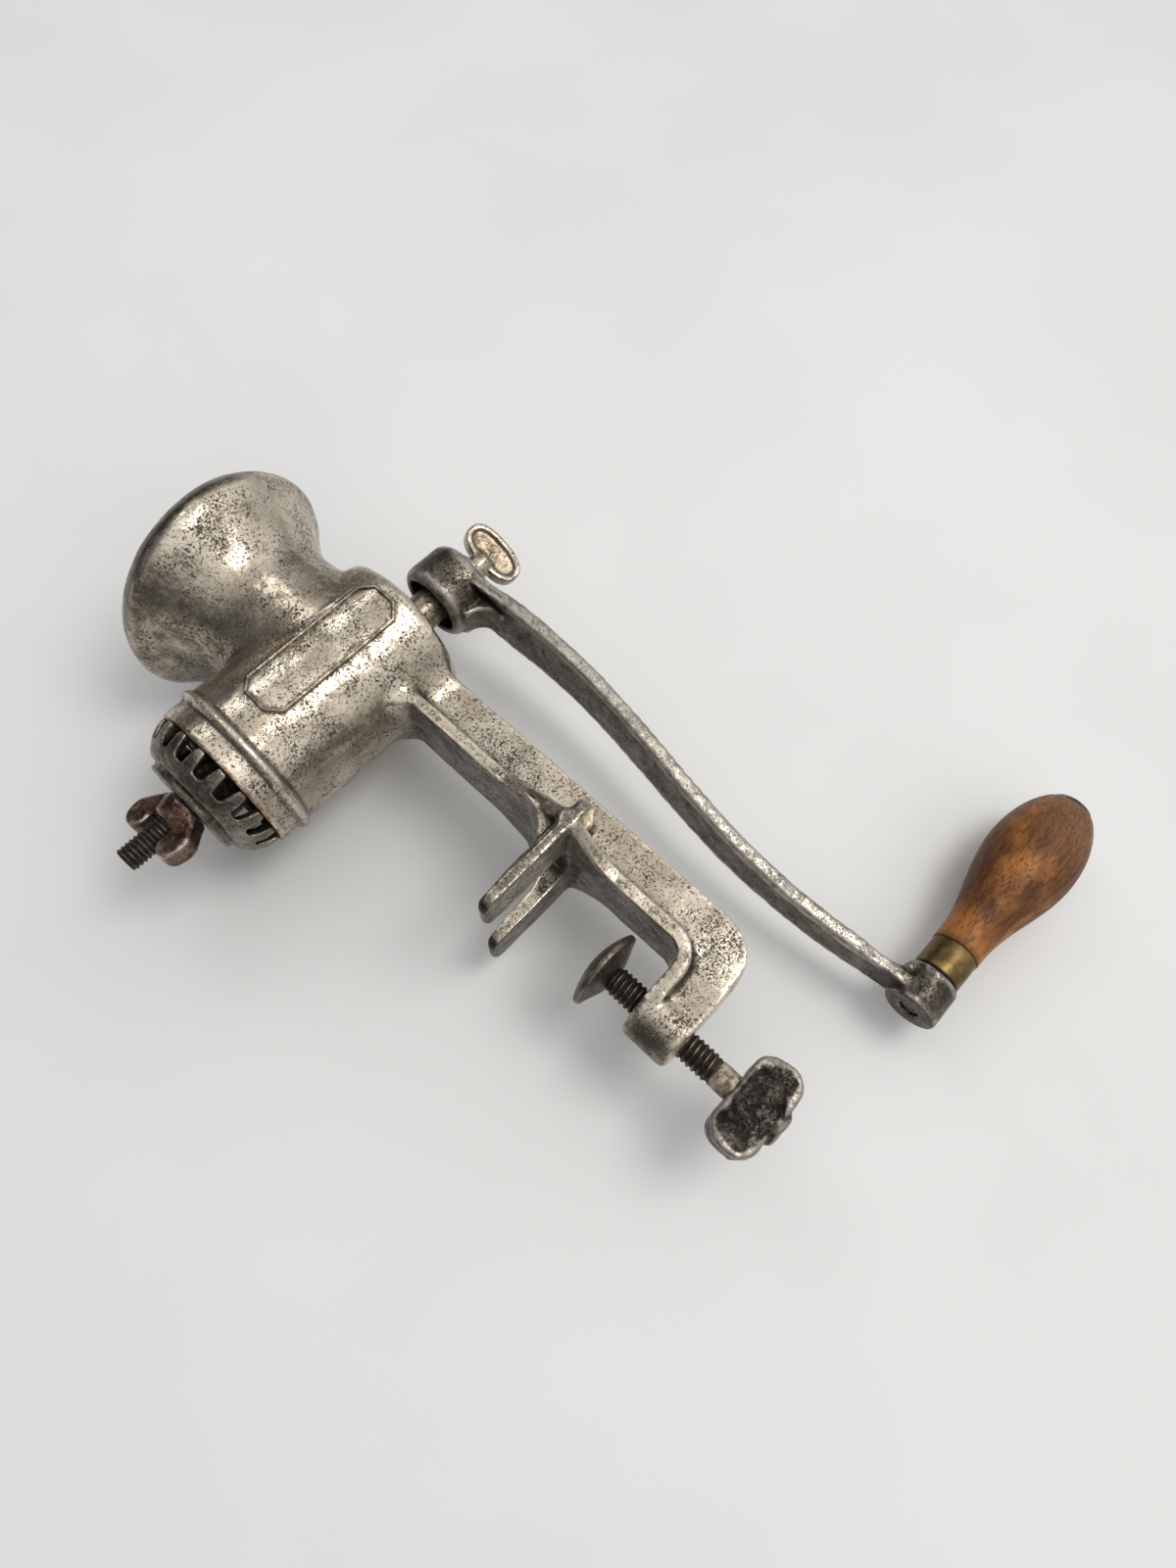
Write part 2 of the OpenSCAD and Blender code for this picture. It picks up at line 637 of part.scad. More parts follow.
// Toothed crown that turns against the collar
function crown_at(h) = cutter_r * sqrt(1 - pow(h / cutter_dome, 2));
module cutter() color(dark_iron) ahead(collar_x) difference() {
    shelf = crown_h - cutter_wall;
    steps = corner_steps;
    slot_in = crown_at(slot_len) - cutter_wall - past;
    slot = [[-slot_w / 2, -past, 0], [slot_w / 2, -past, 0],
            [slot_floor / 2, slot_len, slot_floor / 4], [-slot_floor / 2, slot_len, slot_floor / 4]];
    union() {
        rotate_extrude() polygon(concat(
            [for (i = [0:steps]) let(h = face_gap + (crown_h - face_gap) * i / steps) [crown_at(h), h]],
            [[lip_r, crown_h], [lip_r, cutter_h], [0, cutter_h], [0, shelf]],
            [for (i = [steps:-1:0]) let(h = face_gap + (shelf - face_gap) * i / steps)
                [crown_at(h) - cutter_wall, h]]));
        translate([0, 0, face_gap - core_inset]) cylinder(h = core_inset + shelf, r = cutter_hub_r);
    }
    for (i = [0:teeth - 1]) rotate(teeth_turn + 360 * i / teeth)
        along_x(slot_in, cutter_r) polygon(rounded(slot));
    intersection() {
        translate([0, 0, -core_inset])
            cylinder(h = core_inset + drive_h + face_gap, r = drive_r + running_fit);
        translate([-cutter_r, -drive_flats / 2 - running_fit, -core_inset])
            cube([2 * cutter_r, drive_flats + 2 * running_fit, 2 * cutter_h]);
    }
    cylinder(h = cutter_h + past, r = stud_r + running_fit);
}

// Wing nut on the stud
module wing_nut() color(rusty_iron) ahead(collar_x - nut_base) rotate(wing_turn) difference() {
    inner = stud_r + past;
    ear = [[0, 0, 0], [nut_r, 0, past], [wing_reach, wing_h / 2, wing_round],
           [wing_reach - wing_lean, wing_h, wing_round], [inner, wing_h, wing_round],
           [inner, nut_h, 0], [0, nut_h, 0]];
    union() {
        cylinder(h = nut_h, r1 = nut_r, r2 = nut_r - past);
        for (side = [0, 180]) rotate(side) translate([0, wing_t / 2, 0]) rotate([90, 0, 0])
            linear_extrude(wing_t) polygon(rounded(ear));
    }
    translate([0, 0, -past]) cylinder(h = wing_h + 2 * past, r = stud_r + running_fit);
}

// Crank with its hub, curved arm and eye
function arm_in(drop) = hub_x + arm_pos + arm_wave * cos(180 * (drop - arm_crest) / arm_half_wave);
module arm() intersection() {
    inner = [for (i = [0:curve_steps]) let(d = throw * i / curve_steps) [arm_in(d), -d]];
    outer = [for (i = [curve_steps:-1:0]) let(d = throw * i / curve_steps) [arm_in(d) + arm_t, -d]];
    across(arm_top_w) polygon(concat(inner, outer));
    along_x(hub_x, hub_len + eye_len)
        polygon([[arm_top_w / 2, past], [-arm_top_w / 2, past],
                 [-arm_end_w / 2, -throw - past], [arm_end_w / 2, -throw - past]]);
}

module crank_arm() color(dark_iron) difference() {
    hub = rounded([[0, 0, 0], [hub_r, 0, hub_round], [hub_r, hub_len, hub_round], [0, hub_len, 0]]);
    eye = rounded([[0, 0, 0], [eye_r, 0, eye_round], [eye_r, eye_len, eye_round], [0, eye_len, 0]]);
    arm_back = arm_in(throw - eye_r) + arm_t;
    blend = max(eye_round, min(eye_fillet, eye_rear - eye_round - arm_back));
    union() {
        on_crank() {
            arm();
            corner_fillet(arm_in(hub_r), -hub_r, -1, -1, hub_fillet, hub_r / 2, hub_r / 2);
            corner_fillet(arm_back, eye_r - throw, 1, 1, blend, arm_end_w * 0.43, eye_r / 2);
        }
        behind(hub_x) rotate_extrude() polygon(hub);
        on_handle(eye_x) rotate_extrude() polygon(eye);
    }
    behind(hub_x - past) cylinder(h = recess_d + past, r = recess_r);
    behind(hub_x) translate([0, 0, hub_len]) rotate(crank_rest)
        cube([square_w + 2 * running_fit, square_w + 2 * running_fit, 2 * hub_len], center = true);
    on_handle(eye_x - past) cylinder(h = eye_len + 2 * past, r = spindle_r + snug_fit);
}

// Thumb screw that holds the crank on the square end
function oval(w, l) = [for (i = [0:2 * curve_steps - 1])
    let(a = 180 * i / curve_steps)
    [l / 2 * sign(cos(a)) * pow(abs(cos(a)), oval_power),
     w / 2 * sign(sin(a)) * pow(abs(sin(a)), oval_power)]];
module crank_thumb_screw() color(iron) {
    seat = hub_rear + face_gap;
    head_x = seat + head_collar + head_neck + head_l / 2;
    behind(seat) cylinder(h = head_collar, r = head_collar_r);
    behind(seat) cylinder(h = head_collar + head_neck + head_l / 4, r = head_neck_r);
    behind(seat + past - face_gap - shank_len) cylinder(h = shank_len, r = shank_r);
    translate([head_x, 0, barrel_height]) rotate([head_turn, 0, 0]) difference() {
        across(head_t / 2) polygon(oval(head_w, head_l));
        for (side = [-1, 1]) translate([0, side * head_t, 0])
            across(head_t / 2 + head_sink) polygon(oval(head_w - 2 * head_border, head_l - 2 * head_border));
    }
}

// Handle: spindle, ferrule, turned grip and end washer
module handle_spindle() color(rusty_iron) {
    length = wood_rear + face_gap + end_washer_h - eye_x;
    on_handle(eye_x) cylinder(h = length, r = spindle_r);
    on_handle(eye_x + length) cylinder(h = rivet_h, r1 = rivet_r, r2 = rivet_r / 2);
}

module handle_ferrule() color(brass) on_handle(ferrule_x) difference() {
    cylinder(h = ferrule_len, r = ferrule_r);
    translate([0, 0, ferrule_wall]) cylinder(h = ferrule_len, r = ferrule_r - ferrule_wall);
    translate([0, 0, -past]) cylinder(h = 2 * past + ferrule_wall, r = spindle_r + running_fit);
}

function grip_at(x) = x < grip_belly
    ? let(s = max(0, x - grip_neck) / (grip_belly - grip_neck))
      grip_neck_r + (grip_r - grip_neck_r) * (1 - cos(180 * s)) / 2
    : grip_r * sqrt(1 - pow((x - grip_belly) / grip_end, 2));
module wooden_grip() color(wood) on_handle(wood_x) difference() {
    tenon_r = ferrule_r - ferrule_wall - snug_fit;
    tenon = ferrule_len - ferrule_wall - snug_fit;
    rotate_extrude() polygon(concat(
        [[0, -tenon], [tenon_r, -tenon], [tenon_r, 0]],
        [for (i = [0:2 * curve_steps]) let(x = grip_len * i / (2 * curve_steps)) [grip_at(x), x]],
        [[0, grip_len]]));
    translate([0, 0, -ferrule_len]) cylinder(h = ferrule_len + grip_len + past, r = spindle_r + running_fit);
}

module grip_end_washer() color(dark_iron) on_handle(wood_rear + face_gap) difference() {
    rotate_extrude() polygon(rounded([[0, 0, 0], [end_washer_r, 0, 0],
                                      [end_washer_r, end_washer_h, end_washer_h * washer_dome],
                                      [0, end_washer_h, 0]]));
    translate([0, 0, -past]) cylinder(h = end_washer_h + 2 * past, r = spindle_r + snug_fit);
}

// Clamp: threaded screw, cast thumb piece and swivelling pad
module clamp_screw() color(thread_steel) {
    head_top = -pad_drop - face_gap;
    translate([0, 0, thread_bottom]) threaded_rod(clamp_r, clamp_depth, clamp_pitch, clamp_thread);
    translate([0, 0, thumb_top]) cylinder(h = clamp_neck + past, r = clamp_neck_r);
    translate([0, 0, thumb_top - thumb_tail]) cylinder(h = thumb_tail + past, r = thumb_tail_r);
    translate([0, 0, thread_top - past]) cylinder(h = head_top - thread_top + past, r = swivel_r);
    translate([0, 0, head_top - swivel_head]) cylinder(h = swivel_head, r = swivel_head_r);
}

module clamp_thumb_piece() color(dark_iron) difference() {
    half = thumb_w / 2;
    low = thumb_top - thumb_h;
    union() {
        across(thumb_t / 2)
            polygon(rounded([[-half, thumb_top, thumb_round], [half, thumb_top, thumb_round],
                             [half, low, thumb_round], [-half, low, thumb_round]]));
        translate([0, 0, low - thumb_hub]) cylinder(h = thumb_hub + past, r = thumb_hub_r);
    }
    translate([0, 0, thumb_top - thumb_tail - snug_fit])
        cylinder(h = thumb_tail + past, r = thumb_tail_r + snug_fit);
}

module clamp_pad() color(dark_iron) difference() {
    rim_top = -pad_drop - pad_dome;
    rotate_extrude() polygon(concat(
        [[0, pad_bottom], [pad_collar_r, pad_bottom], [pad_r, rim_top - pad_rim]],
        [for (i = [corner_steps:-1:0])
            let(r = pad_r * i / corner_steps) [r, -pad_drop - pad_dome * pow(r / pad_r, 2)]]));
    translate([0, 0, pad_bottom - past])
        cylinder(h = pad_dome + pad_rim + pad_cone + 2 * past, r = swivel_r + running_fit);
    translate([0, 0, -pad_drop - swivel_head - 2 * face_gap])
        cylinder(h = swivel_head + 2 * past, r = swivel_head_r + face_gap);
}

body_casting();
feed_screw();
thrust_washer();
cutter_stud();
cutter();
wing_nut();
crank_arm();
crank_thumb_screw();
handle_spindle();
handle_ferrule();
wooden_grip();
grip_end_washer();
clamp_screw();
clamp_thumb_piece();
clamp_pad();
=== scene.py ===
"""Looks for a hand cranked meat grinder that clamps to a table: rounded castings, cut threads, turned wood.
Lengths in the script are millimetres in the part's own frame, turned into metres where meshes are made."""
import math

import bmesh
import bpy
import numpy as np
from mathutils import Matrix, Vector, noise


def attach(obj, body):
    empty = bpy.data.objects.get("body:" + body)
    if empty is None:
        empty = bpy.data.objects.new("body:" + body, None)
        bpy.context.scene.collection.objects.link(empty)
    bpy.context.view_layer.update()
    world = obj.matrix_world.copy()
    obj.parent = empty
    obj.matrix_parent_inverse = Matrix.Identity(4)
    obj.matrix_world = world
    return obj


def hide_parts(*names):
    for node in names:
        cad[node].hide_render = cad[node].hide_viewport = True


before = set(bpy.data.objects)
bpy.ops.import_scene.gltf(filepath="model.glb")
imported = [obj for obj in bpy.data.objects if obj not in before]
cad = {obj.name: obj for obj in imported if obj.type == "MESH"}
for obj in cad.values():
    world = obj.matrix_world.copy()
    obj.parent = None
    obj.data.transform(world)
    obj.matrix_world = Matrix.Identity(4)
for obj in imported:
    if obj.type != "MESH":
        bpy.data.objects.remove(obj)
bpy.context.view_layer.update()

MM = 0.001
X, Y, Z = range(3)
BARREL_Z = 102.6
BARREL_R = 28.0
COLLAR_X = -40.2
HOPPER_X = 15.9
HOPPER_LEAN = math.radians(5.2)
THROAT_R = 26.8
TABLET_X = 8.75
TABLET_W = 56.0
TABLET_H = 18.5
TABLET_CORNER = 4.5
TABLET_DROP = 1.4
THROW = 214.8
CRANK_TILT = math.radians(6)
BAR_TOP_Z = 85
BAR_LOW_Z = -92
EYE_X = 63.1
FERRULE_X = 77.8
WOOD_X = 89.8
GRIP_LEN = 69.4
GRIP_R = 16.2
GRIP_NECK_R = 8.6
GRIP_WIDEST = 46
PIN_R = 3.6
HEAD_X = 84.8
HEAD_TURN = math.radians(24)
STUD_R = 4.45
STUD_DEPTH = 0.62
STUD_PITCH = 1.6
STUD_LEN = 33.5
CLAMP_R = 4.76
CLAMP_DEPTH = 0.78
CLAMP_PITCH = 1.95
CLAMP_LOW_Z = -77.7
CLAMP_HIGH_Z = -36.7
TABLE_Y = 43.2
TABLE_HALF = 6.0


# Placing: a turned piece is made along local z and moved by one of these
def ahead(x):
    return Matrix.Translation((x, 0, BARREL_Z)) @ Matrix.Rotation(-math.pi / 2, 4, "Y")


def on_handle(x):
    crank = Matrix.Translation((0, 0, BARREL_Z)) @ Matrix.Rotation(CRANK_TILT, 4, "X")
    return crank @ Matrix.Translation((x, 0, -THROW)) @ Matrix.Rotation(math.pi / 2, 4, "Y")


# Mesh helpers
def add_object(name, mesh):
    obj = bpy.data.objects.new(name, mesh)
    bpy.context.scene.collection.objects.link(obj)
    return obj


def points(mesh):
    flat = np.empty(3 * len(mesh.vertices))
    mesh.vertices.foreach_get("co", flat)
    return flat.reshape(-1, 3)


def set_points(mesh, co):
    mesh.vertices.foreach_set("co", co.ravel())
    mesh.update()


def normals(mesh):
    flat = np.empty(3 * len(mesh.vertices))
    mesh.vertex_normals.foreach_get("vector", flat)
    return flat.reshape(-1, 3)


def casting(name, node, voxel, rounds, regain=0.8):
    """Copy of a CAD node as an even mesh of small faces, its edges rounded as a casting's are."""
    mesh = cad[node].data.copy()
    mesh.name = name
    mesh.materials.clear()
    work = bmesh.new()
    work.from_mesh(mesh)
    bmesh.ops.remove_doubles(work, verts=work.verts, dist=1e-6)
    work.to_mesh(mesh)
    work.free()
    obj = add_object(name, mesh)
    remesh = obj.modifiers.new("voxels", "REMESH")
    remesh.mode = "VOXEL"
    remesh.voxel_size = voxel * MM
    remesh.use_smooth_shade = True
    graph = bpy.context.evaluated_depsgraph_get()
    even = bpy.data.meshes.new_from_object(obj.evaluated_get(graph))
    obj.modifiers.clear()
    obj.data = even
    bpy.data.meshes.remove(mesh)
    even.name = name
    smooth(obj, rounds, regain=regain)
    even.shade_smooth()
    return obj


def smoothed(mesh, rounds, weight=None, regain=0.0):
    """Points of a mesh, each moved towards the middle of its neighbours, where weight says so.
    With regain, each move is followed by one outwards: edges grow round and the piece keeps its size."""
    count = len(mesh.vertices)
    co = points(mesh)
    ends = np.empty(2 * len(mesh.edges), dtype=np.int64)
    mesh.edges.foreach_get("vertices", ends)
    a, b = ends.reshape(-1, 2).T
    near = np.bincount(a, minlength=count) + np.bincount(b, minlength=count)
    share = 0.5 if weight is None else 0.5 * weight[:, None]
    for _ in range(rounds):
        for part in (1, -regain) if regain else (1,):
            total = np.stack([np.bincount(a, co[b, k], count) + np.bincount(b, co[a, k], count)
                              for k in range(3)], 1)
            co += part * share * (total / near[:, None] - co)
    return co


def smooth(obj, rounds, weight=None, regain=0.0):
    set_points(obj.data, smoothed(obj.data, rounds, weight, regain))


def bell(*pairs):
    """Weight that is 1 where all the distances are 0 and fades over their widths."""
    return np.exp(-0.5 * sum((far / width) ** 2 for far, width in pairs))


def relief(obj, rounds):
    """Keeps how many millimetres each point stands out, for brighter ridges, part wear and part painted
    highlight, and for painted shade in hollows.
    """
    mesh = obj.data
    out = np.sum((points(mesh) - smoothed(mesh, rounds)) * normals(mesh), axis=1) / MM
    mesh.attributes.new("relief", "FLOAT", "POINT").data.foreach_set("value", out)


def lumps(obj, size, depth, seed):
    """Unevenness of a casting: the surface goes in and out along its normals."""
    mesh = obj.data
    co = points(mesh)
    shift = Vector((seed, 2 * seed, 3 * seed))
    push = np.array([noise.noise(Vector(p) / (size * MM) + shift) for p in co])
    set_points(mesh, co + normals(mesh) * (push * depth * MM)[:, None])


def spun(name, place, rows, sides, sharp=40):
    """Turned piece from rows (z, r), where r is a radius or a function of z and angle; closed at its ends."""
    angles = [2 * math.pi * j / sides for j in range(sides)]
    verts = []
    for z, r in rows:
        for a in angles:
            here = r(z, a) if callable(r) else r
            verts.append(place @ Vector((here * math.cos(a), here * math.sin(a), z)) * MM)
    faces = []
    for i in range(len(rows) - 1):
        for j in range(sides):
            k = (j + 1) % sides
            faces.append((i * sides + j, i * sides + k, (i + 1) * sides + k, (i + 1) * sides + j))
    faces.append(tuple(range(sides - 1, -1, -1)))
    faces.append(tuple((len(rows) - 1) * sides + j for j in range(sides)))
    mesh = bpy.data.meshes.new(name)
    mesh.from_pydata(verts, [], faces)
    mesh.shade_smooth()
    mesh.set_sharp_from_angle(angle=math.radians(sharp))
    return add_object(name, mesh)


def thread(r, depth, pitch, low, high, fade):
    """Radius of a right-hand thread with worn crests that fades in and out at its ends."""
    def radius(z, a):
        turn = (z / pitch - a / (2 * math.pi)) % 1
        rise = min(1, max(0, 1.45 * (1 - abs(2 * turn - 1)) - 0.12))
        cut = min(1, max(0, (z - low) / fade), max(0, (high - z) / fade))
        return r - depth + depth * rise * cut
    return radius


def steps(low, high, size):
    count = max(1, math.ceil(abs(high - low) / size))
    return [low + (high - low) * i / count for i in range(count + 1)]


def arc(z, r, size, start, end, count=6):
    """Rows round a corner of that size with its middle at (z, r), between two angles in degrees from +r."""
    turns = [math.radians(start + (end - start) * i / count) for i in range(count + 1)]
    return [(z + size * math.sin(t), r + size * math.cos(t)) for t in turns]


def dress(obj, body, slot, material, *replaced):
    obj.data.materials.clear()
    obj.data.materials.append(material)
    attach(obj, body)
    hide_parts(*replaced)


# Shader helpers
class Shader:
    """A material with one Principled shader, and short calls for the nodes that feed it.
    Its colour is built up in colour, and done() hands it to the shader."""

    def __init__(self, name):
        self.material = bpy.data.materials.new(name)
        self.material.use_nodes = True
        self.tree = self.material.node_tree
        self.tree.nodes.clear()
        self.out = self.node("ShaderNodeOutputMaterial")
        self.bsdf = self.node("ShaderNodeBsdfPrincipled")
        self.tree.links.new(self.bsdf.outputs[0], self.out.inputs["Surface"])
        self.place = self.node("ShaderNodeTexCoord").outputs["Object"]
        self.parts = None
        self.sides = None
        self.colour = None

    def node(self, kind, **settings):
        made = self.tree.nodes.new(kind)
        for key, value in settings.items():
            setattr(made, key, value)
        return made

    def put(self, socket, value):
        if isinstance(value, bpy.types.NodeSocket):
            self.tree.links.new(value, socket)
        elif isinstance(value, (tuple, list)) and len(value) == 3 and socket.type == "RGBA":
            socket.default_value = (*value, 1)
        else:
            socket.default_value = value

    def set(self, name, value):
        self.put(self.bsdf.inputs[name], value)

    def done(self):
        self.set("Base Color", self.colour)
        return self.material

    def axis(self, index):
        """One coordinate of the place, in metres."""
        if self.parts is None:
            self.parts = self.node("ShaderNodeSeparateXYZ")
            self.put(self.parts.inputs[0], self.place)
        return self.parts.outputs[index]

    def math(self, kind, a, b=0.0, c=0.0):
        made = self.node("ShaderNodeMath", operation=kind)
        for socket, value in zip(made.inputs, (a, b, c)):
            self.put(socket, value)
        return made.outputs[0]

    def times(self, first, *others):
        for other in others:
            first = self.math("MULTIPLY", first, other)
        return first

    def most(self, a, b):
        return self.math("MAXIMUM", a, b)

    def range(self, value, low, high, out_low=0.0, out_high=1.0):
        """Smooth step of a value between two limits."""
        made = self.node("ShaderNodeMapRange", interpolation_type="SMOOTHSTEP")
        for socket, item in zip(made.inputs, (value, low, high, out_low, out_high)):
            self.put(socket, item)
        return made.outputs[0]

    def along(self, index, low, high):
        """Smooth step along an axis of the part, between two places in millimetres."""
        return self.range(self.axis(index), low * MM, high * MM)

    def away(self, index, middle):
        """Distance from a place on an axis, which is given in millimetres."""
        return self.math("ABSOLUTE", self.math("SUBTRACT", self.axis(index), middle * MM))

    def noise(self, size, detail=4.0, rough=0.55, stretch=(1, 1, 1), shift=0.0, warp=0.0):
        """Noise with features of that size in millimetres, drawn out by stretch."""
        mapping = self.node("ShaderNodeMapping", vector_type="TEXTURE")
        self.put(mapping.inputs["Vector"], self.place)
        mapping.inputs["Scale"].default_value = stretch
        mapping.inputs["Location"].default_value = (shift, 1.7 * shift, -0.6 * shift)
        made = self.node("ShaderNodeTexNoise")
        self.put(made.inputs["Vector"], mapping.outputs[0])
        made.inputs["Scale"].default_value = 1 / (size * MM)
        made.inputs["Detail"].default_value = detail
        made.inputs["Roughness"].default_value = rough
        made.inputs["Distortion"].default_value = warp
        return made.outputs["Fac"]

    def join(self, kind, share, a, b):
        made = self.node("ShaderNodeMix", data_type="FLOAT" if kind == "VALUE" else kind)
        self.put(made.inputs["Factor"], share)
        for name, value in (("A", a), ("B", b)):
            self.put([s for s in made.inputs if s.name == name and s.type == kind][0], value)
        return [s for s in made.outputs if s.type == kind][0]

    def mix(self, share, a, b):
        """Mix of two colours."""
        return self.join("RGBA", share, a, b)

    def blend(self, share, a, b):
        """Mix of two numbers."""
        return self.join("VALUE", share, a, b)

    def tint(self, colour, share, strength=1):
        """Lays a colour over what is there."""
        self.colour = self.mix(self.times(share, strength), self.colour, colour)

    def relief(self, low, high):
        """Share of ridge or hollow, between two heights in millimetres."""
        return self.range(self.node("ShaderNodeAttribute", attribute_name="relief").outputs["Fac"], low, high)

    def facing(self, index, sign):
        """How far the surface faces along an axis of the part."""
        if self.sides is None:
            self.sides = self.node("ShaderNodeSeparateXYZ")
            self.put(self.sides.inputs[0], self.node("ShaderNodeTexCoord").outputs["Normal"])
        return self.times(self.sides.outputs[index], sign)

    def radius(self, i, mid_i, j, mid_j):
        """Distance from a line through those two coordinates in millimetres, along the third axis."""
        a = self.math("SUBTRACT", self.axis(i), mid_i * MM)
        b = self.math("SUBTRACT", self.axis(j), mid_j * MM)
        return self.math("SQRT", self.math("ADD", self.times(a, a), self.times(b, b)))

    def hollow(self, reach):
        """How open the surface is within that many millimetres: 1 on a free face, less in a corner."""
        made = self.node("ShaderNodeAmbientOcclusion", samples=6, only_local=True)
        made.inputs["Distance"].default_value = reach * MM
        return made.outputs["AO"]

    def bump(self, height, depth):
        made = self.node("ShaderNodeBump")
        made.inputs["Strength"].default_value = 1
        made.inputs["Distance"].default_value = depth * MM
        self.put(made.inputs["Height"], height)
        self.set("Normal", made.outputs[0])


# Materials
def iron(name, light, mid, dark, pits, seed, wear=0.0, shine=None, rough=(0.26, 0.55), metal=0.88, cloud=18):
    """Old cast metal: cloudy plating, ragged dark wear, specks in swarms, a few pits, brighter ridges that
    are part wear and part painted highlight, painted shade in corners and hollows.
    """
    s = Shader(name)
    clouds = s.range(s.noise(cloud, 5, 0.62, shift=seed), 0.36, 0.64)
    s.colour = s.mix(clouds, mid, light)
    patches = s.range(s.noise(0.4 * cloud, 9, 0.74, shift=seed + 0.3, warp=0.5), 0.51, 0.66)
    s.tint(dark, patches, 0.34)
    where = s.range(s.noise(0.6 * cloud, 5, 0.65, shift=seed + 0.9), 0.34, 0.66, 0.045, -0.045)
    fine = s.noise(0.75, 4, 0.68, shift=seed + 0.7, warp=0.8)
    specks = s.range(fine, s.math("ADD", 0.58 - pits, where), s.math("ADD", 0.63 - pits, where))
    coarse = s.noise(3.2, 6, 0.75, shift=seed + 1.7)
    sores = s.range(coarse, s.math("ADD", 0.665 - pits, where), s.math("ADD", 0.71 - pits, where))
    worn = s.most(specks, sores)
    s.tint(tuple(0.22 * c for c in dark), worn, 0.94)
    # brighter ridges: partly worn edges, partly a painted highlight
    if wear:
        bright = shine or tuple(min(0.9, 1.25 * c) for c in light)
        patchy = s.range(s.noise(5, 5, 0.65, shift=seed + 2.3), 0.3, 0.55, 0.35, 1)
        s.tint(bright, s.times(s.relief(0.12, 0.42), patchy), wear)
    # painted shade in corners and hollows, where little light reaches
    nook = s.range(s.hollow(7), 0.92, 0.45)
    hollow_shade = s.most(nook, s.relief(-0.1, -0.4))
    s.tint(tuple(0.28 * c for c in dark), hollow_shade, 0.85)
    s.set("Roughness", s.blend(s.most(patches, worn), rough[0], rough[1]))
    s.set("Metallic", s.blend(worn, metal, 0.3 * metal))
    s.set("Specular IOR Level", 0.25)
    height = s.math("SUBTRACT", s.times(clouds, 0.3), worn)
    s.bump(s.math("SUBTRACT", height, s.times(patches, 0.4)), 0.10)
    return s


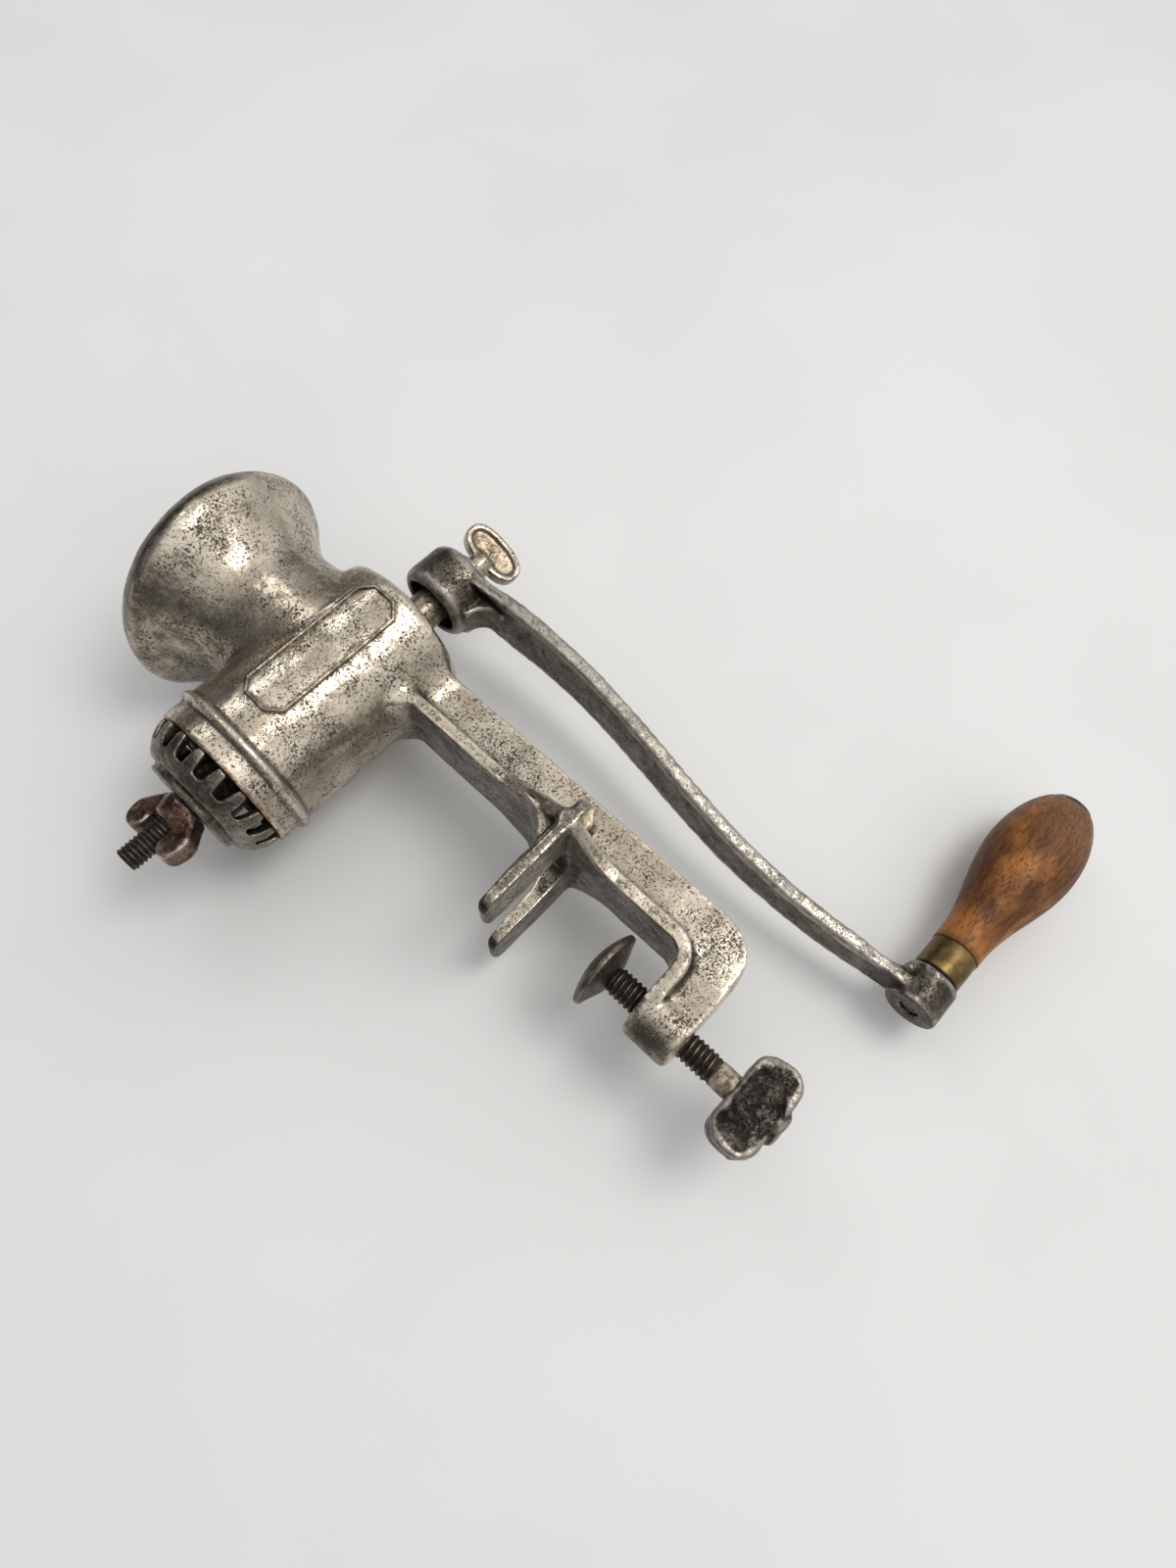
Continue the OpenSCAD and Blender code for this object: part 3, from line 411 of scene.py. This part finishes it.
def body_iron():
    s = iron("tinned_iron", (0.61, 0.54, 0.44), (0.41, 0.35, 0.27), (0.12, 0.092, 0.062), 0.035, 0.11,
             wear=0.7, rough=(0.21, 0.5))
    # the rim is dark: height is along the hopper's own axis, above the barrel's axis
    lean = s.times(s.axis(X), -math.sin(HOPPER_LEAN))
    up = s.math("MULTIPLY_ADD", s.axis(Z), math.cos(HOPPER_LEAN), lean)
    zero = (-HOPPER_X * math.sin(HOPPER_LEAN) + BARREL_Z * math.cos(HOPPER_LEAN)) * MM
    ragged = s.math("MULTIPLY_ADD", s.noise(9, 5, 0.6, shift=2.2), 5 * MM, -2.5 * MM)
    rim = s.range(s.math("ADD", up, ragged), zero + 60.2 * MM, zero + 62.8 * MM)
    s.tint((0.075, 0.056, 0.038), rim, 0.85)
    # the plating is worn through in ragged swarms on the hopper's front and on the barrel's rear end
    bare = s.times(s.along(X, 6, -20), s.along(Z, 126, 138))
    rear = s.times(s.along(X, 44, 50), s.along(Z, 78, 90), 0.8)
    swarms = s.range(s.noise(6, 10, 0.78, shift=7.7, warp=0.4), 0.42, 0.58)
    s.tint((0.085, 0.066, 0.046), s.times(s.most(bare, rear), swarms), 0.62)
    # the prongs are dark with dirt on their outsides and tips
    low = s.times(s.along(Z, 10, 5), s.along(Z, -1.5, 0.4))
    outside = s.most(s.range(s.away(Y, 0), 26 * MM, 28.2 * MM), s.along(X, -9, -16))
    dirt = s.times(low, outside, s.range(s.noise(3, 6, 0.7, shift=5.3), 0.3, 0.6, 0.3, 1), 0.75)
    tips = s.times(s.along(X, -12.5, -16.5), s.along(Z, 9, 7), s.along(Z, -2, -0.8), 0.92)
    s.tint((0.03, 0.024, 0.018), s.most(dirt, tips))
    # painted shade on faces turned away from the light, in streaks: the leg's front, the jaw and the
    # underside of the far prong
    front = s.range(s.facing(X, -1), 0.45, 0.85)
    below = s.times(s.range(s.facing(Z, -1), 0.5, 0.85), s.along(Y, 2, 9))
    streaks = s.range(s.noise(6, 6, 0.7, stretch=(1, 1, 2), shift=6.1), 0.3, 0.62, 0.45, 1)
    s.tint((0.045, 0.036, 0.027), s.times(s.most(front, below), s.along(Z, 82, 70), streaks), 0.94)
    # painted shade inside the upper part of the bore's mouth, at the collar
    bore = s.range(s.radius(Y, 0, Z, BARREL_Z), 26.6 * MM, 25.8 * MM)
    s.tint((0.045, 0.034, 0.025), s.times(bore, s.along(Z, 126, 118), s.along(X, -40, -38.5)), 0.85)
    # painted shade along the feet of the tablet's border, broken up by noise
    du = s.math("SUBTRACT", s.away(X, TABLET_X), TABLET_W / 2 * MM)
    dv = s.math("SUBTRACT", s.away(Z, BARREL_Z - TABLET_DROP), TABLET_H / 2 * MM)
    clip = s.times(s.math("ADD", s.math("ADD", du, dv), TABLET_CORNER * MM), math.sqrt(0.5))
    far = s.most(s.most(du, dv), clip)
    border_shade = s.range(s.math("ABSOLUTE", s.math("ADD", far, 0.7 * MM)), 1.9 * MM, 0.75 * MM)
    broken = s.range(s.noise(3, 5, 0.65, shift=9.1), 0.3, 0.6, 0.3, 1)
    s.tint((0.09, 0.068, 0.045), s.times(border_shade, s.along(Y, -14, -18), broken), 0.8)
    # brown stains behind the collar, and a thin line of rust at its edge
    stain = s.range(s.noise(7, 6, 0.65, shift=3.1), 0.5, 0.7)
    s.tint((0.30, 0.20, 0.08), s.times(stain, s.along(X, -24, -36), s.along(Z, 100, 80)), 0.7)
    line = s.along(X, COLLAR_X + 1.6, COLLAR_X + 0.3)
    s.tint((0.30, 0.14, 0.05), line, s.range(s.noise(4, 4, 0.6, shift=4.4), 0.4, 0.6))
    return s.done()


def plain_iron(*args, **more):
    return iron(*args, **more).done()


def screw_iron():
    """Feed screw, with painted shade making it near black at its front end, where the cutter covers it."""
    s = iron("screw_iron", (0.34, 0.29, 0.225), (0.16, 0.13, 0.095), (0.07, 0.052, 0.036), 0.02, 0.71,
             wear=0.7, rough=(0.3, 0.55))
    # painted shade on the front end, under the cutter
    s.tint((0.02, 0.016, 0.012), s.along(X, -28, -35), 0.93)
    return s.done()


def cutter_iron():
    """Bare iron, with painted shade inside the crown."""
    s = iron("cutter_iron", (0.27, 0.235, 0.195), (0.12, 0.1, 0.08), (0.035, 0.027, 0.02), 0.01, 1.31,
             wear=0.55, shine=(0.36, 0.32, 0.27), rough=(0.3, 0.55), cloud=6)
    # painted shade inside the crown
    inside = s.range(s.radius(Y, 0, Z, BARREL_Z), 24.6 * MM, 22.8 * MM)
    s.tint((0.014, 0.011, 0.008), s.times(inside, s.along(X, -48.6, -48)), 0.95)
    return s.done()


def crank_iron():
    """Bare iron, rusty in places, darker round the eye, with painted shade on the eye's face turned away from
    the light.
    """
    s = iron("crank_iron", (0.19, 0.165, 0.13), (0.072, 0.06, 0.046), (0.03, 0.023, 0.017), 0.04, 1.91,
             wear=0.85, shine=(0.50, 0.46, 0.40), rough=(0.32, 0.6), cloud=9)
    rust = s.range(s.noise(9, 6, 0.65, stretch=(1, 1, 2.5), shift=8.1), 0.52, 0.7)
    s.tint((0.085, 0.05, 0.028), rust, 0.5)
    # painted shade on the eye's face turned towards −X, away from the light
    face = s.times(s.range(s.facing(X, -1), 0.6, 0.95), s.along(Z, -92, -99))
    s.tint((0.05, 0.04, 0.03), face, 0.7)
    eye = s.times(s.along(Z, -94, -101), s.range(s.noise(2.5, 8, 0.75, shift=9.7), 0.4, 0.6))
    s.tint((0.035, 0.029, 0.023), eye, 0.7)
    return s.done()


def head_iron():
    """Thumb screw: bright rim round a browned oval panel, in the plane of the head."""
    s = iron("head_iron", (0.48, 0.42, 0.335), (0.28, 0.235, 0.18), (0.12, 0.094, 0.066), 0.0, 3.07,
             wear=0.5, cloud=9)
    up = s.math("SUBTRACT", s.axis(Z), BARREL_Z * MM)
    tall = s.math("MULTIPLY_ADD", up, math.cos(HEAD_TURN), s.times(s.axis(Y), -math.sin(HEAD_TURN)))
    u = s.math("DIVIDE", s.math("SUBTRACT", s.axis(X), HEAD_X * MM), 4.4 * MM)
    v = s.math("DIVIDE", tall, 10.1 * MM)
    ring = s.math("ADD", s.times(u, u), s.times(v, v))
    s.tint((0.17, 0.125, 0.08), s.range(ring, 1.1, 0.85), 0.7)
    return s.done()


def thread_steel(name, crest, root, axis, r_root, r_crest):
    """Dark thread whose worn crests shine; axis is the two coordinates across it, each with its middle."""
    s = Shader(name)
    high = s.range(s.radius(*axis), (r_root + 0.55 * (r_crest - r_root)) * MM, (r_crest - 0.02) * MM)
    patchy = s.range(s.noise(3.5, 5, 0.65, shift=0.5), 0.4, 0.62, 0.25, 1.0)
    s.colour = s.mix(s.range(s.noise(2.2, 5, 0.6, shift=1.5), 0.42, 0.62), root, (0.05, 0.032, 0.022))
    s.tint(crest, high, patchy)
    s.set("Roughness", s.blend(high, 0.62, 0.36))
    s.set("Metallic", s.blend(high, 0.55, 0.95))
    s.bump(s.noise(0.8, 4, 0.6), 0.06)
    return s


def clamp_steel():
    """Dark thread, and a brassy neck below it."""
    s = thread_steel("clamp_steel", (0.16, 0.135, 0.11), (0.013, 0.0105, 0.0085), (X, 0, Y, 0), 4.0, CLAMP_R)
    tone = s.range(s.noise(3.2, 5, 0.65, shift=7), 0.38, 0.62)
    brassy = s.mix(tone, (0.13, 0.10, 0.07), (0.52, 0.45, 0.33))
    s.tint(brassy, s.along(Z, CLAMP_LOW_Z + 0.4, CLAMP_LOW_Z - 0.9))
    return s.done()


def aged_brass():
    s = Shader("aged_brass")
    s.colour = s.mix(s.range(s.noise(7, 5, 0.6), 0.36, 0.66), (0.095, 0.06, 0.021), (0.20, 0.135, 0.052))
    streak = s.range(s.noise(1.6, 6, 0.65, stretch=(0.6, 2, 2), shift=0.4), 0.58, 0.72)
    s.tint((0.06, 0.04, 0.02), streak, 0.45)
    # painted shadow of the gap between the crank's eye and the ferrule, as a dark band at the ferrule's front
    # edge
    s.tint((0.022, 0.018, 0.013), s.along(X, FERRULE_X + 1.1, FERRULE_X + 0.7), 0.9)
    s.set("Metallic", 0.9)
    s.set("Roughness", s.blend(streak, 0.38, 0.55))
    s.bump(s.noise(1.2, 5, 0.6, shift=1.2), 0.05)
    return s.done()


def grip_wood():
    s = Shader("grip_wood")
    figure = s.range(s.noise(1.7, 5, 0.62, stretch=(11, 1, 1), warp=0.3), 0.32, 0.68)
    s.colour = s.mix(figure, (0.08, 0.026, 0.007), (0.205, 0.077, 0.020))
    amber = s.range(s.noise(15, 4, 0.55, stretch=(1.6, 1, 1), shift=0.6), 0.50, 0.68)
    amber = s.most(amber, s.along(X, WOOD_X + 17.2, WOOD_X + 7.2))
    s.tint((0.50, 0.188, 0.036), amber, 0.7)
    red = s.range(s.noise(17, 4, 0.55, stretch=(1.5, 1, 1), shift=1.9), 0.47, 0.66)
    s.tint((0.09, 0.027, 0.0075), red, 0.5)
    grey = s.range(s.noise(8, 5, 0.6, shift=2.8), 0.35, 0.6, 0.35, 1)
    s.tint((0.19, 0.108, 0.050), s.times(s.along(X, WOOD_X + 40.2, WOOD_X + 62.2), grey), 0.65)
    pores = s.range(s.noise(0.5, 2, 0.5, stretch=(7, 1, 1), shift=3.3), 0.54, 0.64)
    s.tint((0.06, 0.019, 0.006), pores, 0.7)
    s.tint((0.06, 0.022, 0.008), s.along(X, WOOD_X + 3.2, WOOD_X + 0.2), 0.6)
    s.set("Roughness", s.blend(amber, 0.5, 0.4))
    s.set("Specular IOR Level", 0.25)
    s.bump(s.math("SUBTRACT", s.times(figure, 0.3), pores), 0.08)
    return s.done()


# Tablet on the barrel's side: its ground is flat, and its border is a strip of its own
def tablet_ring(inset):
    """Clipped corners of the tablet's outline, moved in by inset."""
    w, h = TABLET_W / 2 - inset, TABLET_H / 2 - inset
    c = TABLET_CORNER - inset * (2 - math.sqrt(2))
    half = [(w - c, h), (w, h - c), (w, c - h), (w - c, -h)]
    return half + [(-u, -v) for u, v in half]


def flatten_tablet(obj):
    co = points(obj.data)
    x, y, z = co.T / MM
    up = z - BARREL_Z
    r = np.hypot(y, up)
    inside = (np.abs(x - TABLET_X) < TABLET_W / 2 + 1) & (np.abs(up + TABLET_DROP) < TABLET_H / 2 + 1)
    inside &= (y < 0) & (r > BARREL_R)
    scale = np.where(inside, BARREL_R / r, 1)
    co[:, 1] *= scale
    co[:, 2] = (BARREL_Z + up * scale) * MM
    set_points(obj.data, co)


def tablet_border():
    """Closed strip round the tablet, from its outer foot over its crest to its inner foot and back below."""
    strip = [(0, -0.4), (0.1, 0.5), (0.35, 0.8), (0.7, 0.9), (1.05, 0.8), (1.3, 0.5), (1.4, -0.4)]
    parts = 8
    verts = []
    for inset, height in strip:
        ring = tablet_ring(inset)
        for (u0, v0), (u1, v1) in zip(ring, ring[1:] + ring[:1]):
            for k in range(parts):
                u, v = u0 + (u1 - u0) * k / parts, v0 + (v1 - v0) * k / parts - TABLET_DROP
                out = math.sqrt((BARREL_R + height) ** 2 - v * v)
                verts.append(((TABLET_X + u) * MM, -out * MM, (BARREL_Z + v) * MM))
    n = len(verts) // len(strip)
    faces = []
    for i in range(len(strip)):
        low, high = i * n, (i + 1) % len(strip) * n
        faces += [(low + j, low + (j + 1) % n, high + (j + 1) % n, high + j) for j in range(n)]
    mesh = bpy.data.meshes.new("tablet_border")
    mesh.from_pydata(verts, [], faces)
    mesh.shade_smooth()
    # the border's crest gets the brighter ridge tint, part wear and part painted highlight, and its feet get
    # painted shade
    heights = [0.6 if height > 0.4 else -0.4 for _, height in strip for _ in range(n)]
    mesh.attributes.new("relief", "FLOAT", "POINT").data.foreach_set("value", heights)
    return add_object("tablet_border", mesh)


# Body: a fillet grows where the barrel, hopper, leg and foot run into each other
body = casting("body_skin", "body_casting", 0.6, 5)
x, y, z = (points(body.data) / MM).T
from_barrel = np.abs(np.hypot(y, z - BARREL_Z) - BARREL_R)
axis_x = HOPPER_X - (z - BARREL_Z) * math.tan(HOPPER_LEAN)
from_throat = np.abs(np.hypot(x - axis_x, y) - THROAT_R)
neck = bell((from_barrel, 4.5), (from_throat, 4.5)) * (z > BARREL_Z + 6)
under = bell((from_barrel, 3.5)) * (z < BARREL_Z - 12) * (np.abs(x - 28) < 17) * (np.abs(y) < 20)
channel = bell((x - 23.6, 3), (np.abs(y) - 6.5, 3)) * (z < 80)
toe = bell((x - 20, 9), (z - 3, 9))
bend = bell((z + 53, 3.2), (np.abs(y) - 8, 3.2)) * (x < 28) * (x > 5)
smooth(body, 70, np.clip(neck + under, 0, 1))
smooth(body, 30, np.clip(channel + bend + 0.4 * toe, 0, 1))
flatten_tablet(body)
lumps(body, 9, 0.22, 1.3)
lumps(body, 2.5, 0.05, 4.1)
relief(body, 40)
tinned = body_iron()
dress(body, "frame", "tinned_iron", tinned, "body_casting")
dress(tablet_border(), "frame", "tinned_iron", tinned)

# Drive: feed screw, washer, stud, cutter, crank
feed = casting("feed_screw_skin", "feed_screw", 0.6, 4)
relief(feed, 24)
dress(feed, "drive", "tinned_iron", screw_iron(), "feed_screw")

stud_thread = thread(STUD_R, STUD_DEPTH, STUD_PITCH, 0, STUD_LEN + 0.4, 1.2)
stud_rows = [(-11.5, 3.6), (0, 3.6)] + [(h, stud_thread) for h in steps(0, STUD_LEN - 0.4, 0.12)]
stud_rows += [(STUD_LEN - 0.1, 3.75), (STUD_LEN, 3.3)]
stud = spun("cutter_stud_cut", ahead(COLLAR_X - 6.5), stud_rows, 72, 75)
stud_steel = thread_steel("stud_steel", (0.13, 0.11, 0.09), (0.014, 0.011, 0.0085),
                          (Y, 0, Z, BARREL_Z), 3.85, STUD_R)
dress(stud, "drive", "dark_thread", stud_steel.done(), "cutter_stud")

cutter = casting("cutter_skin", "cutter", 0.5, 6, 0)
lumps(cutter, 4, 0.15, 2.7)
lumps(cutter, 1.7, 0.14, 5.2)
relief(cutter, 24)
dress(cutter, "drive", "dark_iron", cutter_iron(), "cutter")

crank = casting("crank_skin", "crank_arm", 0.6, 4)
x, y, z = (points(crank.data) / MM).T
bar = np.clip((BAR_TOP_Z - z) / 8, 0, 1) * np.clip((z - BAR_LOW_Z) / 8, 0, 1)
knee = bell((z + 99, 4), (x - 68, 7))
smooth(crank, 24, bar, 1.0)
smooth(crank, 30, knee, 0.9)
set_points(crank.data, points(crank.data) + normals(crank.data) * (0.5 * MM * bar)[:, None])
lumps(crank, 10, 0.2, 5.9)
relief(crank, 40)
dress(crank, "drive", "dark_iron", crank_iron(), "crank_arm")

spindle_rows = [(1.2, 1.0), (1.1, 2.4), (1.2, 2.9), (1.6, 3.35), (2.3, 3.5), (97.0, 3.5), (98.2, 3.5)]
spindle_rows += [(98.6, 4.7), (99.2, 3.9), (99.6, 2.2), (99.75, 0.8)]
spindle = spun("handle_spindle_turned", on_handle(EYE_X), spindle_rows, 64, 50)
spindle_rust = plain_iron("spindle_rust", (0.26, 0.155, 0.105), (0.12, 0.068, 0.046), (0.03, 0.016, 0.011),
                          0.0, 4.31, rough=(0.5, 0.7), metal=0.5, cloud=3)
dress(spindle, "drive", "rusty_iron", spindle_rust, "handle_spindle")

cap_rows = [(0, 3.53), (0, 8.0)] + arc(0.3, 7.9, 0.3, -60, 40) + arc(0.7, 6.6, 1.5, 40, 88)
cap_rows += [(2.2, 5.0), (2.2, 3.53)]
cap = spun("grip_end_cap", on_handle(WOOD_X + GRIP_LEN + 0.3), cap_rows, 96, 45)
cap_iron = plain_iron("cap_iron", (0.12, 0.10, 0.08), (0.036, 0.03, 0.024), (0.012, 0.01, 0.008), 0.0, 2.77,
                      rough=(0.3, 0.55), cloud=7)
dress(cap, "drive", "dark_iron", cap_iron, "grip_end_washer")

brass = aged_brass()
for place in cad["thrust_washer"].material_slots:
    place.material = brass

# Nut and thumb screw
nut = casting("wing_nut_skin", "wing_nut", 0.4, 26, 0)
lumps(nut, 4, 0.3, 3.3)
lumps(nut, 1.8, 0.1, 6.6)
relief(nut, 40)
nut_iron = plain_iron("rusty_iron", (0.22, 0.14, 0.105), (0.06, 0.031, 0.022), (0.02, 0.011, 0.008),
                      0.0, 2.31, wear=0.9, shine=(0.58, 0.50, 0.43), rough=(0.24, 0.6), metal=0.85, cloud=5)
dress(nut, "nut", "rusty_iron", nut_iron, "wing_nut")

head = casting("thumb_screw_skin", "crank_thumb_screw", 0.35, 7, 0)
lumps(head, 4, 0.08, 6.1)
relief(head, 24)
dress(head, "crank_screw", "tinned_iron", head_iron(), "crank_thumb_screw")


# Grip
def grip_r(h):
    if h < GRIP_WIDEST:
        rise = max(0, h - 3) / (GRIP_WIDEST - 3)
        return GRIP_NECK_R + (GRIP_R - GRIP_NECK_R) * (1 - math.cos(math.pi * rise)) / 2
    return GRIP_R * math.sqrt(1 - ((h - GRIP_WIDEST) / 28.8) ** 2)


end_r = grip_r(GRIP_LEN)
grip_rows = [(-11, PIN_R), (-11, 7.3), (0, 7.3), (0, 8.3)]
grip_rows += [(h, grip_r(h)) for h in steps(0.3, GRIP_LEN - 0.6, 0.8)]
grip_rows += [(GRIP_LEN - 0.15, end_r - 0.2), (GRIP_LEN, end_r - 0.8), (GRIP_LEN, PIN_R)]
grip = spun("grip_turned", on_handle(WOOD_X), grip_rows, 128, 40)
dress(grip, "grip", "grip_wood", grip_wood(), "wooden_grip")

ring_rows = [(0.9, PIN_R), (0, PIN_R), (0, 7.7)] + arc(0.5, 7.8, 0.5, -90, 0) + [(6, 8.32)]
ring_rows += arc(11.6, 7.9, 0.4, 0, 90) + [(12, 7.4)]
ring = spun("ferrule_rolled", on_handle(FERRULE_X), ring_rows, 128, 45)
dress(ring, "grip", "aged_brass", brass, "handle_ferrule")

# Clamp: screw with its neck, thumb piece and pad
clamp_thread = thread(CLAMP_R, CLAMP_DEPTH, CLAMP_PITCH, CLAMP_LOW_Z, CLAMP_HIGH_Z, 1.6)
screw_rows = [(-95.6, 3.0), (-95.6, 3.5), (-84.7, 3.5), (-84.7, 4.4)]
screw_rows += [(h, 4.4) for h in steps(-84.6, -78.2, 0.8)] + [(CLAMP_LOW_Z, 4.0)]
screw_rows += [(h, clamp_thread) for h in steps(CLAMP_LOW_Z, CLAMP_HIGH_Z, 0.14)]
screw_rows += [(CLAMP_HIGH_Z, 3.0), (-30.5, 3.0), (-30.5, 4.4), (-29.0, 4.4), (-28.7, 4.1)]
screw = spun("clamp_screw_cut", Matrix.Identity(4), screw_rows, 72, 75)
dress(screw, "clamp", "dark_thread", clamp_steel(), "clamp_screw")

thumb = casting("clamp_thumb_skin", "clamp_thumb_piece", 0.5, 18, 0)
lumps(thumb, 6, 0.7, 7.7)
lumps(thumb, 2.2, 0.2, 3.7)
relief(thumb, 60)
thumb_iron = plain_iron("thumb_iron", (0.05, 0.042, 0.034), (0.008, 0.0066, 0.0052), (0.004, 0.0033, 0.0026),
                        0.03, 5.77, wear=0.95, shine=(0.36, 0.32, 0.27), rough=(0.3, 0.6), metal=0.8, cloud=5)
dress(thumb, "clamp", "dark_iron", thumb_iron, "clamp_thumb_piece")

pad = casting("clamp_pad_skin", "clamp_pad", 0.4, 4)
lumps(pad, 5, 0.12, 8.3)
relief(pad, 24)
pad_iron = plain_iron("pad_iron", (0.15, 0.122, 0.095), (0.055, 0.043, 0.033), (0.02, 0.015, 0.011),
                      0.01, 6.47, wear=0.8, shine=(0.34, 0.29, 0.235), rough=(0.34, 0.6), metal=0.8, cloud=6)
dress(pad, "pad", "dark_iron", pad_iron, "clamp_pad")

# Stage: a pale table behind the object, seen from its front only
table = Shader("pale_table")
tone = table.range(table.noise(150, 3, 0.5), 0.3, 0.7)
table.colour = table.mix(tone, (0.765, 0.762, 0.752), (0.80, 0.797, 0.787))
table.set("Roughness", 0.75)
table.set("Specular IOR Level", 0.2)
pick = table.node("ShaderNodeMixShader")
table.put(pick.inputs[0], table.node("ShaderNodeNewGeometry").outputs["Backfacing"])
table.put(pick.inputs[1], table.bsdf.outputs[0])
table.put(pick.inputs[2], table.node("ShaderNodeBsdfTransparent").outputs[0])
table.put(table.out.inputs["Surface"], pick.outputs[0])
mesh = bpy.data.meshes.new("table_top")
corners = [(-1, -1), (1, -1), (1, 1), (-1, 1)]
mesh.from_pydata([(TABLE_HALF * u, 0, TABLE_HALF * v) for u, v in corners], [], [(0, 1, 2, 3)])
mesh.materials.append(table.done())
floor = add_object("table_top", mesh)
floor.location = (0.05, TABLE_Y * MM, 0.0)

# World: soft room light, brighter towards the window side
world = bpy.data.worlds.new("room")
bpy.context.scene.world = world
world.use_nodes = True
tree = world.node_tree
tree.nodes.clear()
dot = tree.nodes.new("ShaderNodeVectorMath")
dot.operation = "DOT_PRODUCT"
tree.links.new(tree.nodes.new("ShaderNodeTexCoord").outputs["Generated"], dot.inputs[0])
dot.inputs[1].default_value = Vector((0.34, -0.88, -0.32)).normalized()
ramp = tree.nodes.new("ShaderNodeMapRange")
ramp.interpolation_type = "SMOOTHSTEP"
tree.links.new(dot.outputs["Value"], ramp.inputs[0])
for socket, value in zip(ramp.inputs[1:], (0.15, 0.97, 0.03, 1.15)):
    socket.default_value = value
back = tree.nodes.new("ShaderNodeBackground")
tree.links.new(ramp.outputs[0], back.inputs["Color"])
tree.links.new(back.outputs[0], tree.nodes.new("ShaderNodeOutputWorld").inputs["Surface"])


def lamp(name, place, target, size, power, colour):
    light = bpy.data.lights.new(name, "AREA")
    light.shape = "DISK"
    light.size = size
    light.energy = power
    light.color = colour
    obj = add_object(name, light)
    obj.location = place
    obj.rotation_euler = (Vector(target) - Vector(place)).to_track_quat("-Z", "Y").to_euler()


lamp("window", (0.36, -1.08, -0.34), (0.05, 0, 0.03), 0.5, 4.4, (1.0, 0.985, 0.96))
lamp("far_window", (0.15, -0.8, 0.75), (0.02, 0, 0.06), 0.4, 0.9, (1, 1, 1))

# Camera at the photograph's viewing angle
right = Vector((0.6847, -0.0202, -0.7286)).normalized()
forward = Vector((0.3035, 0.9167, 0.2599)).normalized()
up = right.cross(forward)
camera = add_object("camera", bpy.data.cameras.new("camera"))
turn = Matrix((right, up, -forward)).transposed().to_4x4()
camera.matrix_world = Matrix.Translation(Vector((-64.27, -321.46, -77.15)) * MM) @ turn
camera.data.sensor_width = 36
camera.data.lens = 24.113
camera.data.clip_start = 0.01
bpy.context.scene.camera = camera
bpy.context.scene.view_settings.view_transform = "Standard"
